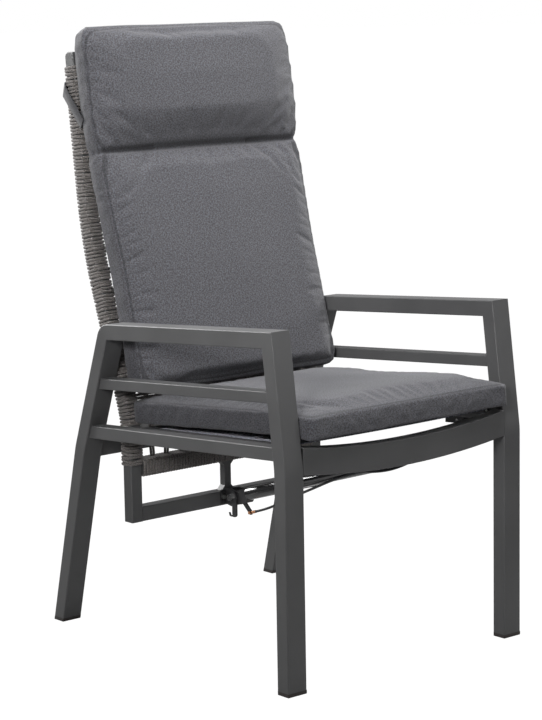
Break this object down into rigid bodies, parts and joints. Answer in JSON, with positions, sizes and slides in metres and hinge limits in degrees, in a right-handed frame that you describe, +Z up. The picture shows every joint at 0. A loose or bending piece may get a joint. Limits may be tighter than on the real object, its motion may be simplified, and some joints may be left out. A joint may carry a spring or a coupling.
{
  "type": "reclining garden armchair",
  "caption": "High-backed garden armchair: dark tube frame, roped back that reclines on a gas spring with a release lever, sling seat, and loose grey seat and back cushions.",
  "frame": {"origin": "on the floor, under the middle of the chair's bounding box", "axes": "+Z up, the chair faces -Y, +X towards the side with the hand lever"},
  "size_m": [0.57, 0.7112, 1.1295],
  "materials": {
    "frame_paint": "anthracite powder coat on aluminium, satin",
    "glide_plastic": "moulded",
    "track_plastic": "extruded",
    "rod_plastic": "plain",
    "sling_fabric": "coated mesh weave",
    "cushion_fabric": "grey melange weave",
    "rope": "braided flat rope",
    "zinc_steel": "zinc plated",
    "bright_steel": "ground",
    "bush_nylon": "moulded",
    "spring_black": "gloss black",
    "black_steel": "satin black",
    "cast_black": "cast, black",
    "copper_ferrule": "copper coloured",
    "cable_sheath": "smooth sheath",
    "lever_plastic": "moulded"
  },
  "bodies": {
    "frame": {"right_front_leg": "frame_paint", "left_front_leg": "frame_paint", "right_armrest": "frame_paint", "left_armrest": "frame_paint", "right_rear_leg": "frame_paint", "left_rear_leg": "frame_paint", "right_side_rail": "frame_paint", "left_side_rail": "frame_paint", "right_seat_rail": "frame_paint", "left_seat_rail": "frame_paint", "front_rail": "frame_paint", "rear_crossbar": "frame_paint", "seat_spreader": "frame_paint", "front_glides": "glide_plastic", "rear_glides": "glide_plastic", "right_sling_track": "track_plastic", "left_sling_track": "track_plastic", "sling_rods": "rod_plastic", "seat_sling": "sling_fabric", "seat_cushion": "cushion_fabric", "pivot_washers": "zinc_steel", "pivot_bolts": "zinc_steel", "pivot_inserts": "zinc_steel", "front_bracket": "black_steel", "front_bolt": "bright_steel", "front_nut": "zinc_steel", "lever_housing": "lever_plastic", "hand_lever_axle": "bright_steel", "release_cable": "cable_sheath", "cable_clips": "lever_plastic"},
    "backrest": {"right_back_post": "frame_paint", "left_back_post": "frame_paint", "back_top_rail": "frame_paint", "back_cross_tube": "frame_paint", "back_bottom_bar": "frame_paint", "back_strut": "frame_paint", "right_post_wrap": "rope", "left_post_wrap": "rope", "cross_tube_wrap": "rope", "top_rail_wrap": "rope", "lower_woven_panel": "rope", "upper_woven_panel": "rope", "back_cushion": "cushion_fabric", "cushion_strap": "cushion_fabric", "pivot_bushes": "bush_nylon", "spring_bracket": "black_steel", "bracket_screws": "zinc_steel", "spring_bolt": "bright_steel", "spring_nut": "zinc_steel"},
    "gas_cylinder": {"gas_cylinder": "spring_black", "rod_guide": "bush_nylon"},
    "gas_rod": {"gas_rod": "bright_steel", "gas_piston": "bright_steel", "rod_cover": "spring_black", "release_head": "cast_black", "release_lever_pin": "bright_steel"},
    "release_lever": {"release_lever": "black_steel", "cable_ferrule": "copper_ferrule"},
    "release_pin": {"release_pin": "bright_steel"},
    "hand_lever": {"hand_lever": "lever_plastic"}
  },
  "joints": [
    {"name": "recline", "type": "hinge", "parent": "frame", "child": "backrest", "pos_m": [0, 0.1723, 0.3885], "axis": [-1, 0, 0], "range_deg": [0, 30], "deforming": ["release_cable"]},
    {"name": "spring_swing", "type": "hinge", "parent": "frame", "child": "gas_cylinder", "pos_m": [0, -0.2867, 0.36], "axis": [1, 0, 0], "range_deg": [-0.5, 2.6], "deforming": ["release_cable"]},
    {"name": "spring_stroke", "type": "slide", "parent": "gas_cylinder", "child": "gas_rod", "axis": [0, -0.9578, 0.2876], "range_m": [0, 0.083], "deforming": ["release_cable"]},
    {"name": "hand_lever_lift", "type": "hinge", "parent": "frame", "child": "hand_lever", "pos_m": [0, -0.2087, 0.39474], "axis": [-1, 0, 0], "range_deg": [0, 12], "stiffness_Nm_per_rad": 0.6, "springref_deg": -6.88},
    {"name": "release_lever_swing", "type": "hinge", "parent": "gas_rod", "child": "release_lever", "pos_m": [0, 0.12397, 0.24297], "axis": [-1, 0, 0], "range_deg": [0, 12], "deforming": ["release_cable"]},
    {"name": "release_pin_press", "type": "slide", "parent": "gas_rod", "child": "release_pin", "axis": [0, -0.9578, 0.2876], "range_m": [0, 0.0015]}
  ],
  "couplings": [
    {"joint": "spring_swing", "follows": "recline", "ratio": 0.071162},
    {"joint": "spring_stroke", "follows": "recline", "m_per_rad": 0.15557},
    {"joint": "release_lever_swing", "follows": "hand_lever_lift", "ratio": 1},
    {"joint": "release_pin_press", "follows": "hand_lever_lift", "m_per_rad": 0.006}
  ]
}
